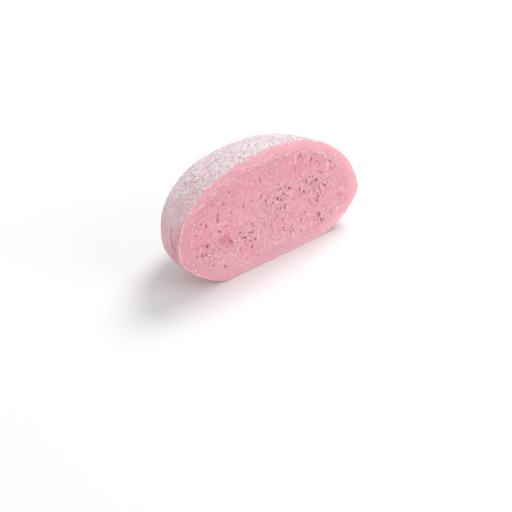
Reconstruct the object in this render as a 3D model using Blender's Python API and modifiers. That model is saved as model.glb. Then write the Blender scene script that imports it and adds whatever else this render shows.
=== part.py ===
# Half of a round mochi: a soft rice-dough skin wrapped round a crumbly filling,
# cut straight down through the middle with a knife.
#
# Metres, +Z up. The half stands on its flat foot at z = 0, with the cut face
# upright and facing -Y. The origin is the centre of the half's box, at the foot.

import bpy
import bmesh
from math import atan2, cos, pi, sin
from mathutils import Matrix, Vector

# The whole sweet, before the cut
RADIUS = 0.025
HEIGHT = 0.026
WIDEST_HEIGHT = 0.0088      # where the skin bulges out furthest
FOOT_RADIUS = 0.0130        # the flat spot it rests on
CROWN_FULLNESS = 2.16       # 2 is an ellipse, more is squarer in the shoulder
SKIRT_FLARE = 0.35          # how far the underside runs level past the foot
SKIRT_TUCK = 0.32           # how far the widest band stays upright

# The skin's thickness, which is also where the filling starts
SIDE_WALL = 0.0031
TOP_WALL = 0.003
FOOT_WALL = 0.0014
FILLING_WIDEST_HEIGHT = 0.0088
FILLING_FOOT_RADIUS = 0.0075
FILLING_FULLNESS = 2.5
FILLING_FLARE = 0.3
FILLING_TUCK = 0.5
CLEARANCE = 0.00035         # between skin and filling, so that they never touch

# A hand-rolled ball is never quite round
LOBE = 0.02                 # three-cornered, with one corner towards -X
SIDE_DROOP = 0.001          # how far the +X side sags and the -X side stands up

# Mesh steps
TURN_STEPS = 96
CROWN_STEPS = 17
SKIRT_STEPS = 10
MERGE = 0.00001

# The knife takes away everything in front of the middle plane
KNIFE_SIZE = 0.08


def crown_and_skirt(radius, top, bottom, widest, foot, fullness, flare, tuck):
    """Points (radius, height) down one side of a turned body, from its top to its foot's centre."""
    points = []
    for step in range(CROWN_STEPS + 1):
        angle = pi / 2 * (1 - step / CROWN_STEPS)
        if step == 0:
            points.append((0.0, top))
            continue
        reach = radius * cos(angle) ** (2 / fullness)
        points.append((reach, widest + (top - widest) * sin(angle) ** (2 / fullness)))

    # Below the widest band the side rolls under, as a Bezier arc down to the foot
    arc = [
        Vector((radius, widest)),
        Vector((radius, widest - tuck * (widest - bottom))),
        Vector((foot + flare * (radius - foot), bottom)),
        Vector((foot, bottom)),
    ]
    for step in range(1, SKIRT_STEPS + 1):
        t = step / SKIRT_STEPS
        point = (
            arc[0] * (1 - t) ** 3
            + arc[1] * 3 * t * (1 - t) ** 2
            + arc[2] * 3 * t**2 * (1 - t)
            + arc[3] * t**3
        )
        points.append((point.x, point.y))
    points.append((0.0, bottom))
    return points


def hand_rolled(point):
    """Where a point of the true turned shape lies on the uneven ball."""
    around = atan2(point.y, point.x)
    spread = 1 - LOBE * cos(3 * around)
    sag = SIDE_DROOP * point.x / RADIUS * sin(pi * point.z / HEIGHT)
    return Vector((point.x * spread, point.y * spread, point.z - sag))


def turned_body(name, points, collection):
    """Turn a profile about Z into a closed mesh object, then make it uneven."""
    outline = bpy.data.meshes.new(name + "_outline")
    edges = [(index, index + 1) for index in range(len(points) - 1)]
    outline.from_pydata([(reach, 0.0, height) for reach, height in points], edges, [])
    profile = bpy.data.objects.new(name + "_outline", outline)
    bpy.context.scene.collection.objects.link(profile)

    screw = profile.modifiers.new("Turn", "SCREW")
    screw.axis = "Z"
    screw.angle = 2 * pi
    screw.steps = TURN_STEPS
    screw.render_steps = TURN_STEPS
    screw.use_merge_vertices = True
    screw.merge_threshold = MERGE
    screw.use_smooth_shade = True

    evaluated = profile.evaluated_get(bpy.context.evaluated_depsgraph_get())
    mesh = bpy.data.meshes.new_from_object(evaluated)
    mesh.name = name
    bpy.data.objects.remove(profile)
    bpy.data.meshes.remove(outline)

    body = bmesh.new()
    body.from_mesh(mesh)
    bmesh.ops.remove_doubles(body, verts=body.verts, dist=MERGE)
    for vertex in body.verts:
        vertex.co = hand_rolled(vertex.co)
    body.to_mesh(mesh)
    body.free()

    turned = bpy.data.objects.new(name, mesh)
    collection.objects.link(turned)
    return turned


def make_knife(collection):
    """The block in front of the middle plane, which the cut removes."""
    mesh = bpy.data.meshes.new("knife")
    block = bmesh.new()
    bmesh.ops.create_cube(block, size=KNIFE_SIZE)
    bmesh.ops.translate(block, verts=block.verts, vec=(0, -KNIFE_SIZE / 2, HEIGHT / 2))
    block.to_mesh(mesh)
    block.free()
    knife = bpy.data.objects.new("knife", mesh)
    collection.objects.link(knife)
    return knife


def as_cutter(body):
    body.hide_render = True
    body.display_type = "WIRE"


def cut(body, cutter):
    boolean = body.modifiers.new("Cut " + cutter.name, "BOOLEAN")
    boolean.operation = "DIFFERENCE"
    boolean.solver = "EXACT"
    boolean.object = cutter


def finish(name, colour, roughness, subsurface):
    material = bpy.data.materials.new(name)
    material.use_nodes = True
    shader = material.node_tree.nodes["Principled BSDF"]
    shader.inputs["Base Color"].default_value = (*colour, 1.0)
    shader.inputs["Roughness"].default_value = roughness
    shader.inputs["Metallic"].default_value = 0.0
    shader.inputs["Subsurface Weight"].default_value = subsurface
    shader.inputs["Subsurface Scale"].default_value = 0.002
    return material


def half_centre(whole):
    """The middle of the half's box, seen from above: the half is what lies behind y = 0."""
    kept = [vertex.co for vertex in whole.data.vertices if vertex.co.y > -MERGE]
    left = min(point.x for point in kept)
    right = max(point.x for point in kept)
    back = max(point.y for point in kept)
    return Vector(((left + right) / 2, back / 2, 0.0))


def main():
    for old in list(bpy.data.objects):
        bpy.data.objects.remove(old)

    parts = bpy.data.collections.new("mochi_half")
    cutters = bpy.data.collections.new("cutters")
    for collection in (parts, cutters):
        bpy.context.scene.collection.children.link(collection)

    skin_outline = crown_and_skirt(
        RADIUS, HEIGHT, 0.0, WIDEST_HEIGHT, FOOT_RADIUS, CROWN_FULLNESS, SKIRT_FLARE, SKIRT_TUCK
    )
    dough = turned_body("dough", skin_outline, parts)

    # The cavity and the filling are the same shape, one a clearance smaller than the other
    linings = {}
    for name, inset, collection in (("cavity", 0.0, cutters), ("filling", CLEARANCE, parts)):
        outline = crown_and_skirt(
            RADIUS - SIDE_WALL - inset,
            HEIGHT - TOP_WALL - inset,
            FOOT_WALL + inset,
            FILLING_WIDEST_HEIGHT,
            FILLING_FOOT_RADIUS,
            FILLING_FULLNESS,
            FILLING_FLARE,
            FILLING_TUCK,
        )
        linings[name] = turned_body(name, outline, collection)
    filling = linings["filling"]

    knife = make_knife(cutters)
    as_cutter(knife)
    as_cutter(linings["cavity"])
    cut(dough, linings["cavity"])
    cut(dough, knife)
    cut(filling, knife)

    dough.data.materials.append(finish("rice_dough", (0.89, 0.50, 0.55), 0.55, 0.3))
    filling.data.materials.append(finish("pink_filling", (0.76, 0.36, 0.43), 0.7, 0.2))

    # Everything hangs on one empty, which puts the half's foot centre on the origin
    stand = bpy.data.objects.new("stand", None)
    parts.objects.link(stand)
    for body in (dough, filling, linings["cavity"], knife):
        body.parent = stand
    stand.matrix_world = Matrix.Translation(-half_centre(dough))


main()
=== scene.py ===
from bisect import bisect_left
from math import acos, atan2, cos, hypot, pi, radians, sin, sqrt
from random import Random

import bpy
import bmesh
import numpy as np
from mathutils import Matrix, Vector, noise
from mathutils.geometry import interpolate_bezier
from mathutils.kdtree import KDTree


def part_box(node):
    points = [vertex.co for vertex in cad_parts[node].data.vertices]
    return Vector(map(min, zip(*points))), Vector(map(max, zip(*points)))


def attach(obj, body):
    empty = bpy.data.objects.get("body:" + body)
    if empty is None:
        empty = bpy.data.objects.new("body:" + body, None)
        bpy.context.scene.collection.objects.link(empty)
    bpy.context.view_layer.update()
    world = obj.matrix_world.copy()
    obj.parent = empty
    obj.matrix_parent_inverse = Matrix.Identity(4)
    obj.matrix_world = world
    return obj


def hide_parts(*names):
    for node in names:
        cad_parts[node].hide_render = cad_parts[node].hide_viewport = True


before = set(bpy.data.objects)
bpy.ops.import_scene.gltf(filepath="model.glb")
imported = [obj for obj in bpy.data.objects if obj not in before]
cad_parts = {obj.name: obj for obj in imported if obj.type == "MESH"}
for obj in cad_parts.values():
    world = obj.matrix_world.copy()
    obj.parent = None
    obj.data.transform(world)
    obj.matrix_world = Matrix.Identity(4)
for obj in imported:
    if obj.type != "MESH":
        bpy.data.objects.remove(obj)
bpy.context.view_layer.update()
doughLow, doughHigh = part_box("dough")
fillingLow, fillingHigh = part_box("filling")
print("frame loaded with", len(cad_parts), "solids")

mm = 0.001
tiny = 1e-5
merge = 0.002 * mm           # points closer together than this become one


def clamp(value):
    return min(1, max(0, value))


def fade(low, high, value):
    # 0 at low, 1 at high and smooth between; low may be the larger of the two
    share = clamp((value - low) / (high - low))
    return share * share * (3 - 2 * share)


def ripple(place, size, seed=0):
    # soft noise from -1 to 1, with bumps about as wide as size
    return noise.noise(Vector((place.x / size + seed * 7.3, place.y / size - seed * 3.1, place.z / size)))


def cells(place, size, seed=0):
    # crumbs about as wide as size: distance to the nearest one's middle, and a number of its own
    spot = Vector((place.x / size + seed * 5.7, place.y / size - seed * 2.3, place.z / size))
    away, middles = noise.voronoi(spot)
    return away[0], 0.5 + 0.5 * noise.noise(middles[0] * 91.7)


class Wire:
    # an output socket of a node tree, on which Python's operators add Math nodes
    def __init__(self, tree, socket=None):
        self.tree = tree
        self.socket = socket

    def add(self, kind, settings=None, sockets=None, output=0):
        node = self.tree.nodes.new(kind)
        for name, value in (settings or {}).items():
            setattr(node, name, value)
        for name, value in (sockets or {}).items():
            if isinstance(value, Wire):
                self.tree.links.new(value.socket, node.inputs[name])
            else:
                node.inputs[name].default_value = value
        return Wire(self.tree, node.outputs[output]) if len(node.outputs) else None

    def maths(self, operation, first, second):
        return self.add("ShaderNodeMath", {"operation": operation}, {0: first, 1: second})

    def __add__(self, other):
        return self.maths("ADD", self, other)

    def __sub__(self, other):
        return self.maths("SUBTRACT", self, other)

    def __rsub__(self, other):
        return self.maths("SUBTRACT", other, self)

    def __mul__(self, other):
        return self.maths("MULTIPLY", self, other)

    __radd__ = __add__
    __rmul__ = __mul__

    def between(self, low, high):
        # 0 at low, 1 at high, smooth
        settings = {"interpolation_type": "SMOOTHSTEP"}
        return self.add("ShaderNodeMapRange", settings, {"Value": self, "From Min": low, "From Max": high})

    def blend(self, first, second):
        # a colour that is first where this is 0 and second where it is 1
        settings = {"data_type": "RGBA", "clamp_factor": True}
        return self.add("ShaderNodeMix", settings, {0: self, 6: first, 7: second}, 2)

    def stretched(self, x, y, z):
        # coordinates on which a pattern comes out wider by these factors
        sockets = {0: self, 1: (1 / x, 1 / y, 1 / z)}
        return self.add("ShaderNodeVectorMath", {"operation": "MULTIPLY"}, sockets)

    def axis(self, number):
        # its x, y or z
        return self.add("ShaderNodeSeparateXYZ", None, {0: self}, number)

    def grain(self, size, detail=2, roughness=0.5):
        # soft noise about 0, with bumps about as wide as size, for a wire of coordinates
        sockets = {"Vector": self, "Scale": 1 / size, "Detail": detail, "Roughness": roughness}
        return self.add("ShaderNodeTexNoise", None, sockets) - 0.5

    def pebbles(self, size):
        # distance to the middle of round grains about as wide as size
        return self.add("ShaderNodeTexVoronoi", None, {"Vector": self, "Scale": 1 / size})


def newMaterial(name):
    material = bpy.data.materials.new(name)
    material.use_nodes = True
    material.node_tree.nodes.clear()
    return material, Wire(material.node_tree)


def objectPlace(tree):
    return tree.add("ShaderNodeTexCoord", output=3)


def attribute(tree, name):
    return tree.add("ShaderNodeAttribute", {"attribute_name": name}, output=2)


def bumped(height, strength, distance):
    sockets = {"Strength": strength, "Distance": distance, "Height": height}
    return height.add("ShaderNodeBump", None, sockets)


def useShader(tree, shader):
    tree.add("ShaderNodeOutputMaterial", None, {"Surface": shader})


def addPiece(name, mesh, material):
    # shaded smooth, and with its place in its mesh
    mesh.shade_smooth()
    mesh.materials.append(material)
    piece = bpy.data.objects.new(name, mesh)
    bpy.context.scene.collection.objects.link(piece)
    return piece


def finished(name, bm, material):
    mesh = bpy.data.meshes.new(name)
    bm.to_mesh(mesh)
    bm.free()
    return addPiece(name, mesh, material)


def partOf(piece):
    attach(piece, "root")
    print(piece.name, "has", len(piece.data.polygons), "faces")


# the whole sweet is a turned body, made a little uneven by hand
sweet = {
    "radius": (doughHigh.x - doughLow.x) / 2,
    "height": doughHigh.z,
    "cutY": doughLow.y,
    "lobe": 0.02,            # three-cornered, with one corner to the left
    "droop": 1.0 * mm,       # the right side sags, the left side stands up
    "widest": 8.8 * mm,
    "foot": 13.0 * mm,
    "sideWall": 3.1 * mm,
    "topWall": 3.0 * mm,
    "footWall": 1.4 * mm,
    "fillingFoot": 7.5 * mm,
    # how full the shoulder is (2 is an ellipse), how far the underside runs level and the side upright
    "skinBend": (2.16, 0.35, 0.32),
    "fillingBend": (2.5, 0.3, 0.5),
    "crownSteps": 120,
    "rollSteps": 60,
    "gap": 0.012 * mm,       # between dough and filling, which stick together
}
sweet["axisX"] = sweet["radius"] * sweet["lobe"]


def makeOutline(radius, top, bottom, foot, bend):
    # one side of a turned body from the middle of its top to that of its foot: (share, reach, height)
    widest, steps = sweet["widest"], sweet["crownSteps"]
    fullness, flare, tuck = bend
    points = []
    for step in range(steps):
        angle = pi / 2 * (1 - step / steps)
        reach = radius * cos(angle) ** (2 / fullness)
        points.append(Vector((reach, widest + (top - widest) * sin(angle) ** (2 / fullness), 0)))
    roll = [Vector((radius, widest, 0)), Vector((radius, widest - tuck * (widest - bottom), 0)),
            Vector((foot + flare * (radius - foot), bottom, 0)), Vector((foot, bottom, 0))]
    points += interpolate_bezier(*roll, sweet["rollSteps"])
    points.append(Vector((0, bottom, 0)))
    way = [0.0]
    for before, after in zip(points, points[1:]):
        way.append(way[-1] + (after - before).length)
    return [(length / way[-1], point.x, point.y) for length, point in zip(way, points)]


def onOutline(outline, share):
    index = min(len(outline) - 1, max(1, bisect_left(outline, (share,))))
    (a, reachA, heightA), (b, reachB, heightB) = outline[index - 1], outline[index]
    t = clamp((share - a) / (b - a))
    return reachA + (reachB - reachA) * t, heightA + (heightB - heightA) * t


def onBody(outline, direction):
    # takes a point of the unit ball to the uneven body
    reach, height = onOutline(outline, acos(min(1, max(-1, direction.z))) / pi)
    around = atan2(direction.y, direction.x)
    spread = 1 - sweet["lobe"] * cos(3 * around)
    sag = sweet["droop"] * reach * cos(around) / sweet["radius"] * sin(pi * height / sweet["height"])
    return Vector((sweet["axisX"] + reach * cos(around) * spread,
                   sweet["cutY"] + reach * sin(around) * spread,
                   height - sag))


def liningOutline(inset):
    # the boundary between skin and filling, or a shape that lies inset inside it
    radius = sweet["radius"] - sweet["sideWall"] - inset
    top = sweet["height"] - sweet["topWall"] - inset
    return makeOutline(radius, top, sweet["footWall"] + inset, sweet["fillingFoot"], sweet["fillingBend"])


skinOutline = makeOutline(sweet["radius"], sweet["height"], 0, sweet["foot"], sweet["skinBend"])
cavityOutline = liningOutline(0)
fillingOutline = liningOutline(sweet["gap"])

cameraSetup = {
    "turn": radians(-33.05),
    "lift": radians(25.32),
    "roll": radians(9.71),
    "distance": 599.6 * mm,
    "lens": 189.84,
    "right": -3.14 * mm,     # where the view's middle lies from the middle of the cut
    "up": -11.43 * mm,
    "clip": (10 * mm, 20),
}


def addCamera(setup):
    turn, lift, roll = setup["turn"], setup["lift"], setup["roll"]
    across = Vector((cos(turn), sin(turn), 0))
    upright = Vector((-sin(turn) * sin(lift), cos(turn) * sin(lift), cos(lift)))
    back = across.cross(upright)
    right = across * cos(roll) - upright * sin(roll)
    up = across * sin(roll) + upright * cos(roll)
    middle = Vector((sweet["axisX"], sweet["cutY"], sweet["height"] / 2))
    aim = middle + right * setup["right"] + up * setup["up"]
    data = bpy.data.cameras.new("camera")
    data.lens = setup["lens"]
    data.clip_start, data.clip_end = setup["clip"]
    camera = bpy.data.objects.new("camera", data)
    bpy.context.scene.collection.objects.link(camera)
    camera.location = middle + back * setup["distance"]
    towards = (camera.location - aim).normalized()
    side = up.cross(towards).normalized()
    turned = Matrix((side, towards.cross(side), towards)).transposed()
    camera.rotation_mode = "QUATERNION"
    camera.rotation_quaternion = turned.to_quaternion()
    bpy.context.scene.camera = camera


# a light's level is how bright it alone makes white paper that faces it; places and sizes are in metres
studio = {
    "key": {"at": Vector((0.56, 0.14, 0.62)), "across": 0.40, "level": 0.60},
    "front": {"at": Vector((0.25, -0.90, 0.34)), "across": 0.55, "level": 0.27},
    "left": {"at": Vector((-0.78, -0.22, 0.40)), "across": 0.60, "level": 0.14},
    "room": 0.56,            # brightness of the white room all round
    "floorHalf": 2.5,
    "floorDrop": 0.02 * mm,
    "floorColour": (0.94, 0.94, 0.94, 1),
    "floorRoughness": 0.9,
}


def addLight(name, setup):
    data = bpy.data.lights.new(name, "AREA")
    data.shape = "DISK"
    data.size = setup["across"]
    data.energy = setup["level"] * pi ** 2 * setup["at"].length_squared
    light = bpy.data.objects.new(name, data)
    bpy.context.scene.collection.objects.link(light)
    light.location = setup["at"]
    light.rotation_mode = "QUATERNION"
    light.rotation_quaternion = setup["at"].to_track_quat("Z", "Y")


def addRoom(brightness):
    # beyond the floor's edge the room is as white as the lit floor
    world = bpy.data.worlds.new("whiteRoom")
    world.use_nodes = True
    world.node_tree.nodes.clear()
    tree = Wire(world.node_tree)
    seen = tree.add("ShaderNodeLightPath")
    sockets = {"Color": (1, 1, 1, 1), "Strength": seen * (1 - brightness) + brightness}
    tree.add("ShaderNodeOutputWorld", None, {"Surface": tree.add("ShaderNodeBackground", None, sockets)})
    bpy.context.scene.world = world


def addFloor(setup):
    bm = bmesh.new()
    bmesh.ops.create_grid(bm, x_segments=1, y_segments=1, size=setup["floorHalf"])
    bmesh.ops.translate(bm, verts=bm.verts, vec=(0, 0, -setup["floorDrop"]))
    material, tree = newMaterial("whiteFloor")
    sockets = {"Base Color": setup["floorColour"], "Roughness": setup["floorRoughness"]}
    useShader(tree, tree.add("ShaderNodeBsdfPrincipled", None, sockets))
    finished("floor", bm, material)


addCamera(cameraSetup)
for lightName in ("key", "front", "left"):
    addLight(lightName, studio[lightName])
addRoom(studio["room"])
addFloor(studio)
bpy.context.scene.view_settings.view_transform = "Standard"
print("camera, lights and floor ready")


skin = {
    "cells": 164,            # squares along a quarter turn of the ball
    "lip": 0.24 * mm,        # radius of the soft edge along the cut
    "nick": 0.24 * mm,       # how ragged the knife left that edge
    "nickReach": 25,         # how far out the pattern of the nicks is taken, in mm
    "lump": 0.12 * mm,       # gentle unevenness of the whole skin
    "crust": 0.10 * mm,      # relief of the starch on it
    "curd": 0.62 * mm,       # size of the little lumps that the starch forms
    "cake": 0.20 * mm,       # how thick the caked starch lies
    "ringSteps": [0.02, 0.05, 0.09, 0.14, 0.21, 0.29, 0.38, 0.47, 0.56, 0.65, 0.74, 0.82, 0.89, 0.95, 1.0],
    "liningSteps": 6,
    "creaseWidth": 0.26 * mm,
    "creaseDepth": 0.16 * mm,
}


def lineAlong(points):
    return [Vector(point) * mm for point in points]


# a crease where the dough was folded while it was rolled
crease = lineAlong([(-22.9, -7.6, 16.6), (-23.6, -8.5, 15.2), (-24.1, -8.9, 13.9), (-24.4, -9.2, 12.8),
                    (-24.7, -10.4, 11.7)])
# where the starch lies in thick ridges and clots: points along each, and its half width
heaps = {
    "ridge": ([(-14.2, -4.4, 22.4), (-11.6, -4.1, 23.4), (-8.9, -4.1, 24.1), (-5.8, -3.9, 24.5)], 0.55),
    "ridgeLow": ([(-13.9, -6.6, 23.0), (-11.6, -6.4, 23.8)], 0.45),
    "shoulder": ([(-10.1, -2.6, 23.4), (-11.2, -1.4, 22.7)], 0.50),
    "crown": ([(-1.2, -7.6, 25.7), (0.6, -6.4, 25.6)], 0.55),
    "flank": ([(-19.2, -4.4, 19.3), (-19.8, -4.5, 18.6)], 0.22),
    "creaseEnd": ([(-24.5, -9.9, 12.0), (-24.7, -10.7, 11.7)], 0.18),
}
heapLines = [(lineAlong(points), wide * mm) for points, wide in heaps.values()]


def behindCut(place):
    return place.y - sweet["cutY"]


def awayFrom(place, points):
    # distance to a line through the points
    nearest = 1.0
    for start, end in zip(points, points[1:]):
        along = end - start
        t = clamp((place - start).dot(along) / along.length_squared)
        nearest = min(nearest, (start + along * t - place).length)
    return nearest


def creaseAt(place):
    # 1 in the middle of the crease, 0 beside it
    wander = 0.5 * ripple(place, 1.5 * mm, 46)
    ends = fade(17.0 * mm, 15.2 * mm, place.z) * fade(11.0 * mm, 12.4 * mm, place.z)
    return ends * fade(1.7, 0.3, awayFrom(place, crease) / skin["creaseWidth"] + wander)


def fromHeap(place):
    # distance to the nearest heap, in its half widths
    return min(awayFrom(place, points) / wide for points, wide in heapLines)


# how thick the starch lies, where 0 is bare and 1 all white
dusting = {
    "low": 0.10,
    "high": 0.63,            # how much more at the top
    "lowLeft": -0.08,        # how much more on the rubbed end
    "foot": 0.28,            # how much more where the sweet stood in it
    "behind": 0.08,          # how much more away from the cut
    "lowBehind": 0.24,       # and how much more again low down there
    "patch": 0.18,           # how uneven it is from patch to patch
    "smallPatch": 0.14,
    "slid": 0.6,             # how bare the skin is right beside a heap
    "heaped": 1.45,          # how thick a heap is, where 1 is a caked patch
    "bareRim": 0.22 * mm,    # how far from the cut the starch begins
    "bareLowLeft": 2.6 * mm,  # how much farther on the rubbed end
}


def dustAt(place):
    setup, behind = dusting, behindCut(place)
    lowLeft = fade(20 * mm, 11 * mm, place.z) * fade(-6 * mm, -18 * mm, place.x)
    bareRim = setup["bareRim"] + setup["bareLowLeft"] * lowLeft
    tongues = 0.40 * mm * ripple(place, 1.3 * mm, 3) + 0.25 * mm * ripple(place, 0.6 * mm, 47)
    rim = fade(-0.2 * bareRim, 1.7 * bareRim, behind + tongues * (0.5 + lowLeft))
    fall = setup["low"] + setup["high"] * fade(2 * mm, 27 * mm, place.z) + setup["lowLeft"] * lowLeft
    foot = setup["foot"] * fade(3.2 * mm, 0.8 * mm, place.z + 1.2 * mm * ripple(place, 3 * mm, 20))
    away = setup["behind"] * fade(2 * mm, 9 * mm, behind)
    away += setup["lowBehind"] * fade(6 * mm, 15 * mm, behind) * fade(22 * mm, 10 * mm, place.z)
    patches = setup["patch"] * ripple(place, 7 * mm, 1) + setup["smallPatch"] * ripple(place, 2.2 * mm, 2)
    patches *= 1 - 0.7 * lowLeft
    heap = fromHeap(place) + 0.7 * ripple(place, 0.9 * mm, 57)
    slid = setup["slid"] * fade(0.4, 0.9, heap) * fade(2.4, 1.4, heap)
    return rim * (1 - creaseAt(place)) * (1 - slid) * clamp(fall + foot + away + patches * (0.4 + fall))


def cakeAt(place):
    # the thick, caked patches of starch on the crown, with broken edges
    high = fade(16 * mm, 22 * mm, place.z + 2 * mm * ripple(place, 5 * mm, 21))
    slant = Vector((place.x + place.z, place.y * 0.8, place.z * 0.5))
    broken = 0.55 * ripple(place, 1.9 * mm, 23) + 0.35 * ripple(place, 0.9 * mm, 24)
    cake = high * fade(0.10, 0.26, ripple(slant, 5.5 * mm, 22) + broken)
    cake = max(cake, dusting["heaped"] * fade(1.4, 0.3, fromHeap(place) + 1.1 * broken))
    return cake * fade(0.2 * mm, 1.2 * mm, behindCut(place))


def grow(bm, rim):
    # a new row of faces along the rim: its outer edges and their points
    made = bmesh.ops.extrude_edge_only(bm, edges=rim)["geom"]
    return ([item for item in made if isinstance(item, bmesh.types.BMEdge)],
            [item for item in made if isinstance(item, bmesh.types.BMVert)])


def closeBehind(bm, rim, aim, outline, steps):
    # rows that draw together behind the cut, and all their points
    points = []
    for step in range(1, steps + 1):
        rim, row = grow(bm, rim)
        turn = pi / 2 * step / steps
        for v in row:
            v.co = onBody(outline, Vector((v[aim].x * cos(turn), sin(turn), v[aim].z * cos(turn))))
        points += row
    return points


def sealed(bm):
    # the same mesh without double points and with its faces turned outwards
    bmesh.ops.remove_doubles(bm, verts=bm.verts, dist=merge)
    bmesh.ops.recalc_face_normals(bm, faces=bm.faces)
    return bm


def buildSkin(setup):
    bm = bmesh.new()
    bmesh.ops.create_cube(bm, size=2)
    bmesh.ops.subdivide_edges(bm, edges=bm.edges[:], cuts=setup["cells"] - 1, use_grid_fill=True)
    bmesh.ops.delete(bm, geom=[v for v in bm.verts if v.co.y < -tiny], context="VERTS")
    aim = bm.verts.layers.float_vector.new("aim")
    dust = bm.verts.layers.float.new("dust")
    caked = bm.verts.layers.float.new("caked")
    lumps = bm.verts.layers.float.new("lumps")
    inward = bm.verts.layers.float.new("inward")
    depth = doughHigh.y - sweet["cutY"]
    lip = setup["lip"]
    # the cube is rounded to a ball with even squares, and the ball to the sweet
    for v in bm.verts:
        x, y, z = v.co
        v[aim] = Vector((x * sqrt(1 - y * y / 2 - z * z / 2 + y * y * z * z / 3),
                         y * sqrt(1 - z * z / 2 - x * x / 2 + z * z * x * x / 3),
                         z * sqrt(1 - x * x / 2 - y * y / 2 + x * x * y * y / 3))).normalized()
        v.co = onBody(skinOutline, v[aim])
        v.co.y = sweet["cutY"] + lip + (v.co.y - sweet["cutY"]) * (depth - lip) / depth
    bmesh.ops.recalc_face_normals(bm, faces=bm.faces)
    bm.normal_update()

    # the soft dough's unevenness, the starch on it, the torn edge of the cut and the crease
    moved = []
    for v in bm.verts:
        place, normal = v.co, v.normal
        v[dust], v[caked] = dustAt(place), cakeAt(place)
        bent = place + Vector((ripple(place, 0.6 * mm, 48), ripple(place, 0.6 * mm, 49), 0)) * 0.2 * mm
        nearest, own = cells(bent, setup["curd"], 12)
        v[lumps] = 1.15 - nearest * 1.25 + (own - 0.5) * 0.9
        standing = fade(0.0, 2.0 * mm, place.z)
        back = fade(0.3 * mm, 3.0 * mm, behindCut(place))
        swell = setup["lump"] * (ripple(place, 9 * mm, 5) - 0.25) * back
        crust = setup["crust"] * min(1, v[dust] * 1.3) * (v[lumps] - 0.5 + ripple(place, 1.1 * mm, 6))
        cake = setup["cake"] * v[caked] * (0.35 + 0.9 * v[lumps])
        nick = nickAt(v[aim], setup) * fade(0.9 * mm, 0.2 * mm, behindCut(place))
        furrow = setup["creaseDepth"] * creaseAt(place)
        moved.append(place + normal * (standing * (swell + crust + cake) - nick - furrow))
    for v, place in zip(bm.verts, moved):
        v.co = place

    # the cut through the skin, from the rounded edge in to the filling
    rim = [edge for edge in bm.edges if edge.is_boundary]
    for share in setup["ringSteps"]:
        rim, row = grow(bm, rim)
        for v in row:
            outer, inner = onBody(skinOutline, v[aim]), onBody(cavityOutline, v[aim])
            thick = (inner - outer).length
            outer = outer.lerp(inner, nickAt(v[aim], setup) / thick)
            place = outer.lerp(inner, share)
            v.co = place + Vector((0, ringReliefAt(place, share, share * thick, lip), 0))
            over = 0.07 + 0.12 * ripple(place, 1.4 * mm, 50) + 0.10 * ripple(place, 0.6 * mm, 51)
            lipDust = (0.55 + 0.5 * ripple(place, 0.9 * mm, 56)) * fade(0.14, 0.03, share)
            v[dust] = max(lipDust, v[dust] * fade(over + 0.10, over - 0.10, share))
            v[caked] = 0
            v[inward] = share

    # the hidden wall behind the filling
    for v in closeBehind(bm, rim, aim, cavityOutline, setup["liningSteps"]):
        v[inward] = 2
    return sealed(bm)


def nickAt(aim, setup):
    # how far the knife tore the edge of the dough away, along the cut's outline
    place = aim * setup["nickReach"] * mm
    jag = ripple(place, 1.6 * mm, 26) + 0.7 * ripple(place, 0.7 * mm, 27)
    clean = (1 - 0.75 * fade(2 * mm, 9 * mm, place.x)) * fade(-13 * mm, -6 * mm, place.z)
    return setup["nick"] * clean * (fade(0.08, 0.50, jag) + 0.4 * max(0, ripple(place, 4 * mm, 28)))


def ringReliefAt(place, share, width, lip):
    # how far the cut through the skin lies behind the knife's plane
    roll = lip - sqrt(max(0, lip * lip - max(0, lip - width) ** 2))
    waves = 0.025 * mm * (0.5 + ripple(place, 2.5 * mm, 8))
    drag = 0.012 * mm * ripple(Vector((place.x, 0, place.z / 8)), 0.45 * mm, 9)
    return roll + max(0, waves + drag + 0.03 * mm * ripple(place, 0.7 * mm, 10) * share)


skinColours = {
    # also painted shade on the left side of the cut
    "darkBlotchAndLeftShade": (0.720, 0.322, 0.365, 1),
    # painted shade for the outside of the left end
    "shadedFlankDough": (0.590, 0.235, 0.265, 1),
    # also painted light on the right side of the cut
    "paleBlotchAndRightLight": (0.868, 0.395, 0.470, 1),
    # also takes painted light towards the right and towards the floor
    "paleAndLitDough": (0.932, 0.570, 0.625, 1),
    "thinStarch": (0.780, 0.450, 0.512, 1),
    "pinkStarch": (0.960, 0.728, 0.785, 1),
    "starch": (0.985, 0.915, 0.938, 1),
}


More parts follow.
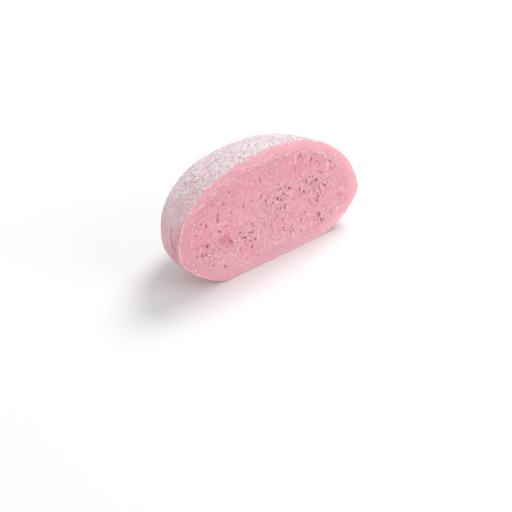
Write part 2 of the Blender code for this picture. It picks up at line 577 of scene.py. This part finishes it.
def skinMaterial(colours):
    material, tree = newMaterial("dustedRiceDough")
    place = objectPlace(tree)
    x, y, z = (place.axis(number) for number in range(3))
    dust, caked, lumps, inward = (attribute(tree, name) for name in ("dust", "caked", "lumps", "inward"))
    coarse = place.grain(0.60 * mm, 3, 0.65)
    fine = place.grain(0.22 * mm, 2, 0.6)
    specks = place.pebbles(0.34 * mm)

    # the cut through the dough: paler along the rim, and streaked where the knife dragged it; also painted
    # light, paler towards the right and towards the floor
    perStreak = 1 / (2.0 * mm)
    sockets = {0: x * perStreak, 1: inward * 6.5, 2: z * perStreak}
    streaks = tree.add("ShaderNodeCombineXYZ", None, sockets).grain(1.0, 3, 0.6)
    upLeft = x.between(9 * mm, -1 * mm) * z.between(12 * mm, 19 * mm)
    inner = inward.between(0.35, 0.60) * upLeft
    edge = inward.between(0.30, 0.04) * z.between(3 * mm, 14 * mm) * 0.5
    # paler to the right across the cut: painted light, as if light shone through the thin dough
    edge = edge + inward.between(0.9, 0.0) * x.between(-16 * mm, 2 * mm)
    # paler towards the floor: painted light against the shade near the floor
    foot = z.between(7 * mm, 0.5 * mm)
    palenessAndPaintedLight = edge * 0.50 + foot * 0.30 + inward.between(0.92, 1.0) * 0.10 + fine * 0.9
    palenessAndPaintedLight = palenessAndPaintedLight + (streaks + 0.03).between(0.0, 0.22) * (inner * 0.95 + 0.14)
    # blotches of the dough's own tone, plus painted light growing to the right and painted shade to the
    # left
    blotchAndSideLight = place.grain(2.4 * mm, 3, 0.6) * 1.2 + x * (1 / (120 * mm))
    colour = blotchAndSideLight.between(-0.27, 0.24).blend(colours["darkBlotchAndLeftShade"], colours["paleBlotchAndRightLight"])
    colour = palenessAndPaintedLight.blend(colour, colours["paleAndLitDough"])

    # the outside of the left end is darker: painted shade, as that side faces away from the light
    outside = y.between(sweet["cutY"] + 0.3 * mm, sweet["cutY"] + 1.6 * mm) * z.between(19 * mm, 13 * mm)
    outside = outside * x.between(-12 * mm, -20 * mm)
    colour = (outside * 0.9).blend(colour, colours["shadedFlankDough"])
    dough = tree.add("ShaderNodeBsdfPrincipled", {"subsurface_method": "RANDOM_WALK"}, {
        "Base Color": colour,
        "Roughness": 0.48,
        "Subsurface Weight": 0.75,
        "Subsurface Radius": (1.0, 0.60, 0.55),
        "Subsurface Scale": 0.7 * mm,
        "Normal": bumped(coarse * 0.5 + fine * 0.7 + streaks * 0.4, 0.7, 0.06 * mm),
    })

    # starch: white grains and little lumps with dim pink skin between them, smooth on the rubbed end
    gritty = place.grain(0.44 * mm, 3, 0.6)
    pattern = gritty * 4.2 + (lumps - 0.5) * (caked * 1.1 + 0.10) - (specks - 0.45) * 0.45
    smooth = x.between(-12 * mm, -18 * mm) * z.between(24 * mm, 18 * mm)
    smooth = smooth * y.between(sweet["cutY"] + 16 * mm, sweet["cutY"] + 7 * mm)
    pattern = pattern * (dust.between(0.15, 0.75) * 1.25 + 0.12) * (1 - smooth * 0.78)
    whiteness = (dust * 0.95 + caked * 0.35 + pattern).between(0.02, 0.98)
    pure = (dust + caked * 0.4 + (whiteness - 0.5) * 0.3).between(0.32, 0.90)
    veil = (dust * 1.5 + pattern * 0.6 + caked).between(0.0, 0.55)
    thick = pure.blend(colours["pinkStarch"], colours["starch"])
    starch = tree.add("ShaderNodeBsdfPrincipled", None, {
        "Base Color": whiteness.blend(colours["thinStarch"], thick),
        "Roughness": 0.95,
        "Specular IOR Level": 0.2,
        "Sheen Weight": 0.12,
        "Sheen Roughness": 0.4,
        "Normal": bumped(whiteness * 0.6 + gritty * 2.4, 1.0, 0.13 * mm),
    })
    useShader(tree, tree.add("ShaderNodeMixShader", None, {0: veil * 0.92, 1: dough, 2: starch}))
    return material


skinPiece = finished("doughSkin", buildSkin(skin), skinMaterial(skinColours))
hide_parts("dough")
partOf(skinPiece)


filling = {
    "across": 430,
    "upright": 208,
    "backSteps": 4,
    "sunk": 0.03 * mm,       # how far the filling lies behind the knife's plane
    "granule": 0.60 * mm,    # size of the crumbs where the knife tore it
    "granuleDepth": 0.20 * mm,
    "grit": 0.34 * mm,       # size of the fine grains of the paste
    "gritDepth": 0.075 * mm,
    "poreDepth": 0.28 * mm,
    "pinhole": 0.58 * mm,    # distance between the smallest pores
    "pinholeDepth": 0.14 * mm,
    "rarity": 0.72,          # higher leaves fewer pores
    "tornPores": 0.38,       # by how much less rare they are where the knife tore
    "flush": (0.965, 0.99),  # between these shares of the way out it becomes even, to meet the dough
}
# the largest hollows on the cut: where (across, up), half width and half height, lean, depth and
# painted shade (how dark the hollow is painted), in mm and degrees
hollows = {
    "longCrack": ((-13.6, 15.2), (0.24, 1.5), 17, 0.45, 0.62),
    "smoothBowl": ((-12.9, 9.7), (1.55, 1.15), 10, 0.42, 0.16),
    "besideBowl": ((-11.2, 8.7), (0.24, 0.80), -32, 0.45, 0.75),
    "leftPit": ((-17.4, 10.0), (0.34, 0.60), 35, 0.45, 0.80),
    "leftPitLow": ((-18.0, 8.4), (0.40, 0.28), 15, 0.40, 0.65),
    "lowPit": ((-7.4, 8.0), (0.50, 0.36), 20, 0.45, 0.70),
    "lowPitRight": ((-5.9, 8.6), (0.50, 0.18), 25, 0.42, 0.80),
    "highPit": ((6.3, 14.6), (0.30, 0.36), 0, 0.60, 1.00),
    "highCrack": ((4.8, 13.6), (0.13, 1.10), -33, 0.40, 0.60),
    "middlePit": ((-0.5, 14.2), (0.20, 0.36), -20, 0.42, 0.85),
    "rightPit": ((9.2, 13.1), (0.24, 0.26), 0, 0.45, 0.90),
    "rightPitHigh": ((12.6, 13.4), (0.34, 0.24), 10, 0.38, 0.60),
    "farPit": ((15.8, 11.6), (0.18, 0.42), -10, 0.45, 0.85),
    "rightTear": ((13.0, 4.9), (0.42, 0.50), 0, 0.40, 0.60),
    "rightTearLow": ((13.6, 3.7), (0.18, 0.60), -25, 0.40, 0.60),
    "footPit": ((-6.0, 5.2), (0.26, 0.36), 30, 0.38, 0.75),
    "upperDent": ((-14.2, 19.1), (0.50, 0.28), 25, 0.22, 0.45),
    "shallowDent": ((-9.4, 16.9), (0.70, 0.55), 0, 0.15, 0.22),
    "seamGap": ((18.4, 16.6), (0.16, 0.50), 40, 0.38, 0.60),
    "seamGapLow": ((19.4, 14.8), (0.14, 0.40), 30, 0.32, 0.45),
}


def hollowsAt(place):
    # depth and painted shade of the named hollows, 0 outside them
    deepest, strongestShade = 0.0, 0.0
    farthest = 2.5           # in mm, and no hollow reaches as far
    for (x, z), (wide, tall), lean, depth, dark in hollows.values():
        dx, dz = place.x / mm - x, place.z / mm - z
        if max(abs(dx), abs(dz)) > farthest:
            continue
        turn = radians(lean)
        across, along = dx * cos(turn) - dz * sin(turn), dx * sin(turn) + dz * cos(turn)
        ragged = (0.25 * ripple(place, 0.6 * mm, 30) + 0.2 * ripple(place, 0.3 * mm, 31)) * mm / 2
        inside = fade(1.3, 0.3, hypot(across / wide, along / tall) + ragged / (min(wide, tall) * mm) * 1.2)
        deepest, strongestShade = max(deepest, depth * mm * inside), max(strongestShade, dark * inside)
    return deepest, strongestShade


# where the knife tore the filling: middle (across, up), half width, half height in mm, and how badly
tears = {
    "left": ((-16.8, 8.0), 3.4, 3.4, 1.0),
    "bowl": ((-8.5, 7.6), 5.5, 2.8, 0.78),
    "middle": ((3.0, 13.2), 6.5, 3.4, 1.0),
    "centre": ((-1.0, 9.0), 6.0, 3.2, 0.75),
    "right": ((12.5, 12.2), 5.5, 4.2, 0.95),
    "lowRight": ((13.2, 4.8), 3.2, 2.4, 0.90),
    "low": ((2.5, 5.0), 7.0, 2.4, 0.65),
}


def tornAt(place):
    # 0 where the knife smeared the filling smooth, 1 where it tore into crumbs
    x, z = place.x / mm, place.z / mm
    ragged = 0.35 * ripple(place, 2.6 * mm, 32) + 0.20 * ripple(place, 1.1 * mm, 33)
    worst = 0.26 + 0.40 * ragged
    for (middleX, middleZ), wide, tall, badly in tears.values():
        away = hypot((x - middleX) / wide, (z - middleZ) / tall)
        worst = max(worst, badly * (1 + 0.5 * ragged) * fade(1.25, 0.45, away + ragged))
    return clamp(worst)


def crumbleAt(place, setup):
    # how deep the filling lies behind the knife's plane, how much painted shade its pores and hollows get,
    # how torn and how pale it is there
    torn = tornAt(place)
    shift = Vector((ripple(place, 0.7 * mm, 38), 0, ripple(place, 0.7 * mm, 39))) * 0.28 * mm
    grown = Vector((place.x + shift.x, 0, (place.z + shift.z) * 0.78))
    away, crumb = cells(grown, setup["granule"], 1)
    near, grit = cells(grown, setup["grit"], 5)
    granules = setup["granuleDepth"] * torn * (away * away * 1.3 + 0.4 * crumb)
    granules += setup["gritDepth"] * (0.35 + 0.65 * torn) * (near * near + 0.6 * grit)
    pale = fade(0.10, 0.50, ripple(place, 1.3 * mm, 52) + 0.5 * ripple(place, 0.5 * mm, 53)) * torn
    tone = 0.5 + 0.8 * torn * (crumb - 0.5) + 0.6 * (grit - 0.5) + 0.20 * pale

    hole = ripple(grown, 0.80 * mm, 2) + 0.55 * ripple(grown, 0.45 * mm, 3)
    hole += 0.3 * ripple(grown, 0.22 * mm, 4)
    over = hole - (setup["rarity"] - setup["tornPores"] * torn)
    pore = fade(-0.05, 0.20, over)
    near, pick = cells(Vector((place.x, 0, place.z * 0.75)), setup["pinhole"], 4)
    pinhole = fade(0.36, 0.16, near) * fade(0.50, 0.60, pick) * fade(0.25, 0.8, torn)
    named, namedPitShade = hollowsAt(place)
    (bowlX, bowlZ), (bowlWide, bowlTall) = hollows["smoothBowl"][:2]
    inBowl = fade(1.15, 0.85, hypot((place.x / mm - bowlX) / bowlWide, (place.z / mm - bowlZ) / bowlTall))
    granules *= 1 - inBowl
    tone += (0.20 - tone) * inBowl
    streak = ripple(Vector((place.x - 0.19 * place.z, 0, place.z / 4)), 0.38 * mm, 41) * (1 - 0.7 * torn)
    plain = 0.022 * mm * streak + 0.05 * mm * ripple(place, 3.0 * mm, 42)
    deep = max(setup["poreDepth"] * pore, setup["pinholeDepth"] * pinhole, named)
    # painted shade: pores, pinholes and the named hollows are coloured darker
    dark = max(max(fade(-0.10, 0.36, over), 0.85 * pinhole) * (1 - inBowl), namedPitShade)
    return plain + granules + deep, dark, torn, tone


def buildFilling(setup):
    bm = bmesh.new()
    bmesh.ops.create_grid(bm, x_segments=setup["across"], y_segments=setup["upright"], size=1)
    aim = bm.verts.layers.float_vector.new("aim")
    # a layer for the painted shade of pores and hollows
    pitShade = bm.verts.layers.float.new("pitShade")
    torn = bm.verts.layers.float.new("torn")
    tone = bm.verts.layers.float.new("tone")
    middle = Vector((sweet["axisX"], sweet["cutY"], (fillingLow.z + fillingHigh.z) / 2))
    for v in bm.verts:
        u, w = v.co.xy
        x, z = u * sqrt(1 - w * w / 2), w * sqrt(1 - u * u / 2)
        reach = hypot(x, z)
        v[aim] = Vector((x, 0, z)) / max(reach, tiny)
        place = middle.lerp(onBody(fillingOutline, v[aim]), reach) if reach > tiny else middle.copy()
        depth, v[pitShade], v[torn], v[tone] = crumbleAt(place, setup)
        flush = fade(*setup["flush"], reach)
        v[pitShade] *= 1 - flush
        v[tone] += 0.08 * flush
        depth *= 1 - flush
        place.y = sweet["cutY"] + max(0, setup["sunk"] + depth)
        v.co = place
    rim = [edge for edge in bm.edges if edge.is_boundary]
    closeBehind(bm, rim, aim, fillingOutline, setup["backSteps"])
    return sealed(bm)


fillingColours = {
    "flesh": (0.800, 0.335, 0.400, 1),
    "mauve": (0.755, 0.380, 0.462, 1),
    "coral": (0.820, 0.320, 0.374, 1),
    "pale": (0.945, 0.590, 0.640, 1),
    "shade": (0.670, 0.210, 0.285, 1),
    # painted shade in pores and hollows
    "deep": (0.540, 0.080, 0.125, 1),
}


def pasteColour(place, colours, tone, torn):
    # uneven pink paste, darker where tone is below 0.5: its colour, its finest grain and its relief
    x, z = place.axis(0), place.axis(2)
    broad = place.grain(3.2 * mm, 3, 0.6)
    small = place.grain(0.70 * mm, 4, 0.7)
    fine = place.grain(0.24 * mm, 3, 0.7)
    streaks = place.stretched(1, 1, 5).grain(0.26 * mm, 2, 0.6)
    colour = broad.between(-0.14, 0.14).blend(colours["flesh"], colours["mauve"])
    colour = (broad * 0.9 + small * 0.45).between(0.0, 0.35).blend(colour, colours["coral"])
    grit = fine * (torn * 0.9 + 0.7) + small * 0.6 + (tone - 0.5) * 1.0
    grit = grit - streaks.between(0.05, 0.22) * (0.42 - torn * 0.22) + streaks * 0.3
    # paler towards the bottom: painted light against the shade near the floor; darker to the left: painted
    # shade, the light coming from the right; and darker towards the top
    grit = grit + z.between(10 * mm, 1.5 * mm) * 0.09 + torn * 0.17
    grit = grit - z.between(14 * mm, 19 * mm) * 0.07 - x.between(-13 * mm, -20 * mm) * 0.07
    colour = (grit.between(-0.02, -0.42) * 0.85).blend(colour, colours["shade"])
    colour = (grit.between(0.0, 0.40) * 0.95).blend(colour, colours["pale"])
    return colour, fine, fine * (torn * 0.8 + 0.6) + small * 0.5 + streaks * (1 - torn) * 0.6


def fillingMaterial(colours):
    material, tree = newMaterial("pinkFilling")
    pitShade, torn, tone = (attribute(tree, name) for name in ("pitShade", "torn", "tone"))
    colour, fine, relief = pasteColour(objectPlace(tree), colours, tone, torn)
    # pores and hollows are painted dark red: painted shade
    paintedPitShade = (pitShade + fine * 0.5 * pitShade.between(0.0, 0.3)).between(0.02, 1.0)
    shader = tree.add("ShaderNodeBsdfPrincipled", {"subsurface_method": "RANDOM_WALK"}, {
        "Base Color": paintedPitShade.blend(colour, colours["deep"]),
        "Roughness": 0.58,
        "Subsurface Weight": 0.35,
        "Subsurface Radius": (1.0, 0.4, 0.4),
        "Subsurface Scale": 0.5 * mm,
        "Normal": bumped(relief, 1.0, 0.14 * mm),
    })
    useShader(tree, shader)
    return material


def crumbMaterial(colours):
    material, tree = newMaterial("fillingCrumb")
    tone = attribute(tree, "own") * 0.5 + 0.42
    colour, _, relief = pasteColour(objectPlace(tree), colours, tone, 1)
    useShader(tree, tree.add("ShaderNodeBsdfPrincipled", None, {
        "Base Color": colour,
        "Roughness": 0.62,
        "Normal": bumped(relief, 0.6, 0.06 * mm),
    }))
    return material


fillingPiece = finished("crumblyFilling", buildFilling(filling), fillingMaterial(fillingColours))
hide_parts("filling")
partOf(fillingPiece)


# loose grains: starch that lies singly, in clumps and as chips on the cut, and crumbs of the filling.
# Sizes are in mm. A higher rarity leaves fewer large ones, and lift raises one by a share of its width.
# Grains keep to thick dust (the more so the higher dusty is), to caked patches and to heaps
loose = {
    "grains": {"seed": 4, "count": 9400, "size": (0.10, 0.30), "flat": 0.8, "rarity": 2, "lift": 0.15,
               "lowest": 0.4 * mm, "dusty": 2.5, "caked": 0.6, "heaped": 0, "rubbedOff": 0.85},
    "clumps": {"seed": 6, "count": 800, "size": (0.12, 0.30), "flat": 0.85, "rarity": 2, "each": (4, 22),
               "spread": 0.30, "stretch": (1.0, 2.2), "pile": 0.16,
               "lowest": 2 * mm, "dusty": 3, "caked": 1, "heaped": 18, "rubbedOff": 0.92},
    "chips": {"seed": 8, "onFilling": 80, "onDough": 49, "size": (0.10, 0.34), "flat": 0.5, "rarity": 3,
              "lift": 0, "least": 8, "perArea": 80, "widest": 0.26, "long": 1.4},
    "crumbs": {"seed": 10, "count": 4200, "size": (0.14, 0.40), "flat": 0.75, "rarity": 2, "lift": 0.05},
    "strands": {"seed": 12, "step": (0.08, 0.20), "flat": 0.6, "long": 3, "reach": 20, "proud": 0.01},
}
# pale smears along the line where skin and filling meet: from and to (degrees clockwise from the top),
# how far outside that line, width (mm), and how broken
strands = {
    "shoulder": (14, 60, 0.02, 0.20, 0.50),
    "shoulderUnder": (20, 46, -0.36, 0.15, 0.65),
    "shoulderOver": (-6, 34, 0.26, 0.13, 0.75),
    "rightEnd": (52, 70, -0.14, 0.32, 0.25),
    "rightEndUnder": (54, 66, -0.45, 0.26, 0.35),
    "upperLeft": (-62, -34, 0.10, 0.17, 0.70),
    "upperLeftOver": (-58, -20, 0.75, 0.14, 0.75),
    "top": (-30, 4, 0.05, 0.14, 0.75),
}
# the largest chips on the cut: where (across, up), length, width and lean from level, in mm and degrees
chips = {
    "whiteFlake": ((2.7, 12.9), 1.15, 0.32, 22),
    "whiteFlakeEnd": ((3.1, 13.5), 0.45, 0.20, 50),
    "paleStreak": ((17.6, 16.3), 1.15, 0.34, 70),
    "paleStreakLow": ((17.1, 15.2), 0.70, 0.28, 62),
    "underSeam": ((12.6, 19.7), 0.90, 0.24, 78),
    "underSeamLeft": ((9.2, 20.2), 0.95, 0.24, 72),
    "underSeamCurl": ((9.0, 21.0), 0.55, 0.22, 30),
    "smallBar": ((10.6, 16.3), 0.55, 0.24, 8),
    "seamClump": ((19.8, 16.3), 0.85, 0.50, 120),
    "seamClumpLow": ((20.4, 15.2), 0.50, 0.32, 60),
    "rightDot": ((20.6, 11.6), 0.34, 0.26, 0),
    "topDot": ((1.8, 17.7), 0.26, 0.24, 0),
    "leftSeamTop": ((-20.1, 19.5), 0.42, 0.36, 0),
    "leftSeam": ((-19.8, 16.5), 0.46, 0.36, 60),
    "leftSeamLow": ((-19.5, 14.7), 0.38, 0.30, 20),
    "leftFoot": ((-21.9, 7.4), 0.55, 0.28, 50),
    "ringDot": ((-6.4, 23.2), 0.34, 0.30, 0),
    "ringDotLeft": ((-9.6, 22.1), 0.42, 0.22, 30),
    "ringDotLower": ((-13.2, 21.6), 0.36, 0.22, 40),
    "ringSmear": ((-14.4, 20.5), 0.50, 0.20, 35),
    "ringFoot": ((-21.6, 5.9), 0.46, 0.34, 40),
    "ringFootLow": ((-20.9, 4.6), 0.40, 0.24, 60),
    "ringFootRight": ((-19.4, 3.3), 0.50, 0.22, 20),
    "ringSide": ((-23.0, 8.6), 0.40, 0.26, 70),
    "ringSideHigh": ((-21.6, 12.4), 0.34, 0.24, 70),
    "ringRight": ((6.1, 23.0), 0.40, 0.18, 15),
    "ringRightLeft": ((4.1, 23.2), 0.30, 0.18, 40),
    "crumbLeft": ((-16.3, 5.9), 0.42, 0.26, 60),
    "crumbMiddle": ((-2.7, 6.8), 0.38, 0.22, 20),
}


def grainShape():
    bm = bmesh.new()
    bmesh.ops.create_icosphere(bm, subdivisions=1, radius=0.5)
    points = np.array([v.co[:] for v in bm.verts])
    faces = np.array([[v.index for v in face.verts] for face in bm.faces])
    bm.free()
    return points, faces


def lyingOn(up, draw):
    # some way along the surface
    turn = draw.random() * 2 * pi
    side = up.orthogonal().normalized()
    return side * cos(turn) + up.cross(side) * sin(turn)


def heapOf(name, spots, setup, material):
    # one mesh of many uneven grains, each with a number of its own; a spot is a grain's place, the way up,
    # the way it lies, its length and its width
    draw = np.random.default_rng(setup["seed"] + 1)
    points, faces = grainShape()
    places, ups, alongs = (np.array([spot[part][:] for spot in spots]) for part in range(3))
    lengths, widths = (np.array([spot[part] for spot in spots]) for part in (3, 4))
    count = len(spots)
    shapes = points[None] * (1 + 0.5 * (draw.random((count, len(points), 1)) - 0.5))
    sizes = np.stack([lengths, widths, setup["flat"] * widths * draw.uniform(0.7, 1.3, count)], 1)
    axes = np.stack([alongs, np.cross(ups, alongs), ups], 1)
    placed = np.einsum("nij,njk->nik", shapes * sizes[:, None, :], axes) + places[:, None, :]
    numbers = faces[None] + (np.arange(count) * len(points))[:, None, None]
    mesh = bpy.data.meshes.new(name)
    mesh.from_pydata(placed.reshape(-1, 3).tolist(), [], numbers.reshape(-1, 3).tolist())
    owns = np.repeat(draw.random(count), len(points))
    mesh.attributes.new("own", "FLOAT", "POINT").data.foreach_set("value", owns)
    return addPiece(name, mesh, material)


def spotsOn(piece, count, weigh, draw):
    # random places on a piece's faces, more of them where weigh says so
    mesh = piece.data
    weights = [face.area * weigh(face) for face in mesh.polygons]
    chosen = draw.choices(range(len(weights)), weights, k=count)
    spots = []
    for index in chosen:
        face = mesh.polygons[index]
        corners = [mesh.vertices[number].co for number in face.vertices]
        u, w = draw.random(), draw.random()
        place = corners[0].lerp(corners[1], u).lerp(corners[3].lerp(corners[2], u), w)
        spots.append((place, face.normal.copy()))
    return spots


def grainSize(setup, draw):
    # small ones are more common than large ones
    low, high = setup["size"]
    size = (low + (high - low) * draw.random() ** setup["rarity"]) * mm
    return size * draw.uniform(0.8, 1.3), size


def laidSingly(piece, count, weigh, draw, setup):
    # single grains, each lying on a piece
    spots = []
    for place, up in spotsOn(piece, count, weigh, draw):
        long, wide = grainSize(setup, draw)
        spots.append((place + up * wide * setup["lift"], up, lyingOn(up, draw), long, wide))
    return spots


def starchMaterial(name, dark, pale):
    material, tree = newMaterial(name)
    place = objectPlace(tree)
    fine = place.grain(0.12 * mm, 2, 0.6)
    height = place.axis(2).between(6 * mm, 21 * mm)
    useShader(tree, tree.add("ShaderNodeBsdfPrincipled", None, {
        "Base Color": (attribute(tree, "own") * 0.6 + height * 0.5 + fine).blend(dark, pale),
        "Roughness": 0.95,
        "Specular IOR Level": 0.2,
        "Normal": bumped(fine, 0.5, 0.04 * mm),
    }))
    return material


looseStarch = starchMaterial("looseStarch", (0.930, 0.700, 0.750, 1), (0.990, 0.935, 0.950, 1))
seamSmear = starchMaterial("seamSmear", (0.930, 0.560, 0.560, 1), (0.970, 0.820, 0.765, 1))


def layer(piece, name):
    return [item.value for item in piece.data.attributes[name].data]


skinDust, skinCaked, skinInward = (layer(skinPiece, name) for name in ("dust", "caked", "inward"))
fillingPitShade, fillingTorn, fillingTone = (layer(fillingPiece, name) for name in ("pitShade", "torn", "tone"))
front = Vector((0, -1, 0))


def rubbedAt(place):
    # 1 on the end of the half that fingers rubbed smooth, beside the cut
    rubbed = fade(-12 * mm, -18 * mm, place.x) * fade(24 * mm, 18 * mm, place.z)
    return rubbed * fade(16 * mm, 7 * mm, behindCut(place))


def starchWeight(setup):
    def weigh(face):
        corners = face.vertices
        if max(skinInward[number] for number in corners) > 0 or face.center.z < setup["lowest"]:
            return 0
        dusty = sum(skinDust[number] ** setup["dusty"] for number in corners)
        dusty += sum(setup["caked"] * skinCaked[number] for number in corners)
        heaped = sum(setup["heaped"] * max(0, skinCaked[number] - 1) for number in corners)
        return dusty * (1 - setup["rubbedOff"] * rubbedAt(face.center)) + heaped

    return weigh


def scatterGrains(setup):
    spots = laidSingly(skinPiece, setup["count"], starchWeight(setup), Random(setup["seed"]), setup)
    return heapOf("starchGrains", spots, setup, looseStarch)


def scatterClumps(setup):
    draw = Random(setup["seed"])
    spots = []
    for middle, up in spotsOn(skinPiece, setup["count"], starchWeight(setup), draw):
        along = lyingOn(up, draw)
        stretch = draw.uniform(*setup["stretch"])
        spread = setup["spread"] * draw.uniform(0.5, 1.2) * mm
        few, many = setup["each"]
        for _ in range(int(few + (many - few) * draw.random() ** 2)):
            u, w = draw.gauss(0, 0.5) * spread * stretch, draw.gauss(0, 0.5) * spread / stretch
            away = along * u + up.cross(along) * w
            long, wide = grainSize(setup, draw)
            pile = max(0, 1 - (away.length / spread) ** 2) * setup["pile"] * mm * draw.random()
            place = middle + away + up * (pile - away.length_squared / (2 * sweet["radius"]))
            if behindCut(place) > 0.3 * mm:
                spots.append((place, up, lyingOn(up, draw), long, wide))
    return heapOf("starchClumps", spots, setup, looseStarch)


def scatterChips(setup):
    # white chips that the knife dragged onto the cut
    draw = Random(setup["seed"])

    def onFilling(face):
        facing = face.normal.y < -0.8
        return facing * (1 - min(1, 3 * max(fillingPitShade[number] for number in face.vertices)))

    def onDough(face):
        shares = [skinInward[number] for number in face.vertices]
        return 1 if 0.25 < min(shares) and max(shares) <= 1 else 0

    spots = laidSingly(fillingPiece, setup["onFilling"], onFilling, draw, setup)
    spots += laidSingly(skinPiece, setup["onDough"], onDough, draw, setup)
    surface = KDTree(len(fillingPiece.data.vertices))
    for number, v in enumerate(fillingPiece.data.vertices):
        surface.insert(v.co, number)
    surface.balance()
    for (x, z), long, wide, lean in chips.values():
        place = Vector((x * mm, sweet["cutY"], z * mm))
        nearest = surface.find(place)[0]
        if (nearest - place).length < 0.4 * mm:
            place.y = min(nearest.y, sweet["cutY"] + 0.05 * mm)
        turn = radians(lean)
        along, beside = Vector((cos(turn), 0, sin(turn))), Vector((-sin(turn), 0, cos(turn)))
        # a chip is a strip of little grains that cling together
        for _ in range(setup["least"] + int(setup["perArea"] * long * wide)):
            spread = draw.uniform(-0.5, 0.5)
            room = wide * sqrt(1 - 3 * spread * spread) * 0.35
            offset = (along * spread * long + beside * draw.uniform(-1, 1) * room) * mm
            size = draw.uniform(0.35, 0.75) * min(wide, setup["widest"]) * mm
            spots.append((place + offset, front, lyingOn(front, draw), size * setup["long"], size))
    return heapOf("cutChips", spots, setup, looseStarch)


def scatterCrumbs(setup):
    # crumbs of the filling, where the knife tore it
    def crumbly(number):
        pale, unpitted = max(0, fillingTone[number] - 0.4), max(0, 1 - 4 * fillingPitShade[number])
        return fillingTorn[number] ** 3 * pale * unpitted

    def weigh(face):
        return 0 if face.normal.y > -0.3 else sum(crumbly(number) for number in face.vertices)

    spots = laidSingly(fillingPiece, setup["count"], weigh, Random(setup["seed"]), setup)
    return heapOf("fillingCrumbs", spots, setup, crumbMaterial(fillingColours))


def layStrands(setup):
    # smears of starchy paste, as rows of grains that cling together
    draw = Random(setup["seed"])
    spots = []
    for start, end, beside, wide, broken in strands.values():
        degree = start
        while degree < end:
            degree += draw.uniform(*setup["step"])
            aim = Vector((sin(radians(degree)), 0, cos(radians(degree))))
            place = aim * setup["reach"] * mm
            near = min(1, (degree - start) / 4, (end - degree) / 4)
            whole = ripple(place, 1.5 * mm, 54 + start) + 0.5 * ripple(place, 0.5 * mm, 55 + start)
            amount = fade(broken * 0.7 - 0.45, broken * 0.7 - 0.15, whole + near - 1)
            if amount <= 0.1:
                continue
            inner, outer = onBody(cavityOutline, aim), onBody(skinOutline, aim)
            out = (outer - inner).normalized()
            shift = beside * mm + 0.16 * mm * ripple(place, 1.8 * mm, 44) + draw.gauss(0, 0.25) * wide * mm
            size = wide * amount * draw.uniform(0.35, 0.85) * mm
            along = (out.cross(front) + out * draw.gauss(0, 0.35)).normalized()
            place = inner + out * shift + front * setup["proud"] * mm
            spots.append((place, front, along, size * setup["long"], size))
    return heapOf("seamStrands", spots, setup, seamSmear)


partOf(scatterGrains(loose["grains"]))
partOf(scatterClumps(loose["clumps"]))
partOf(scatterChips(loose["chips"]))
partOf(layStrands(loose["strands"]))
partOf(scatterCrumbs(loose["crumbs"]))
